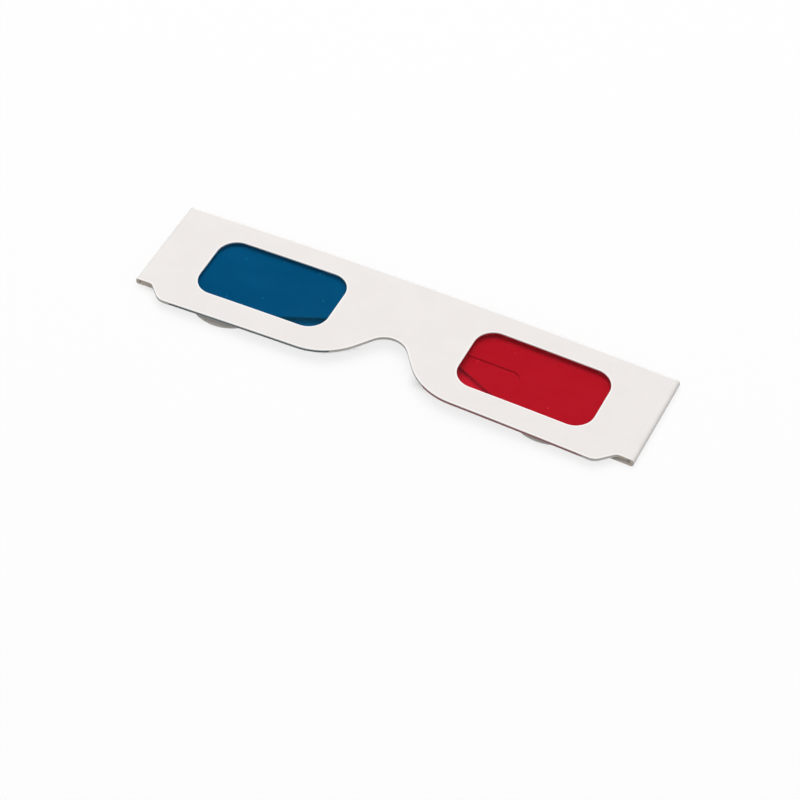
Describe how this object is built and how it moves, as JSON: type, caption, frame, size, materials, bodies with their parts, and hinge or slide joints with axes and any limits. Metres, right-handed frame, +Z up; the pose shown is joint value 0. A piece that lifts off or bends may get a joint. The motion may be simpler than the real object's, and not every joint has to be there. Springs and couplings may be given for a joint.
{
  "type": "card 3-d glasses",
  "caption": "Folded white card glasses with a red and a blue film window, a nose cut-out and two hooked temples that swing out on creases.",
  "frame": {"origin": "on the floor under the folded glasses, at the middle of their bounding box", "axes": "+X along the width towards the red window, +Y towards the top edge of the front, +Z up out of the front face"},
  "size_m": [0.145, 0.0348, 0.004],
  "materials": {
    "card": "smooth matte white card",
    "backing": "uncoated white card",
    "blue_film": "clear blue film",
    "red_film": "clear red film",
    "glue": "dried paper glue"
  },
  "bodies": {
    "front": {"front_card": "card", "back_card": "backing", "blue_film": "blue_film", "red_film": "red_film", "glue_left_end": "glue", "glue_bridge": "glue", "glue_right_end": "glue", "left_crease": "card", "right_crease": "card"},
    "left_arm": {"left_temple": "card"},
    "right_arm": {"right_temple": "card"}
  },
  "joints": [
    {"name": "left_temple_fold", "type": "hinge", "parent": "front", "child": "left_arm", "pos_m": [-0.07155, 0, 0.00155], "axis": [0, 1, 0], "range_deg": [0, 110], "deforming": ["left_crease"]},
    {"name": "right_temple_fold", "type": "hinge", "parent": "front", "child": "right_arm", "pos_m": [0.07125, 0, 0.00125], "axis": [0, -1, 0], "range_deg": [0, 110], "deforming": ["right_crease"]}
  ]
}
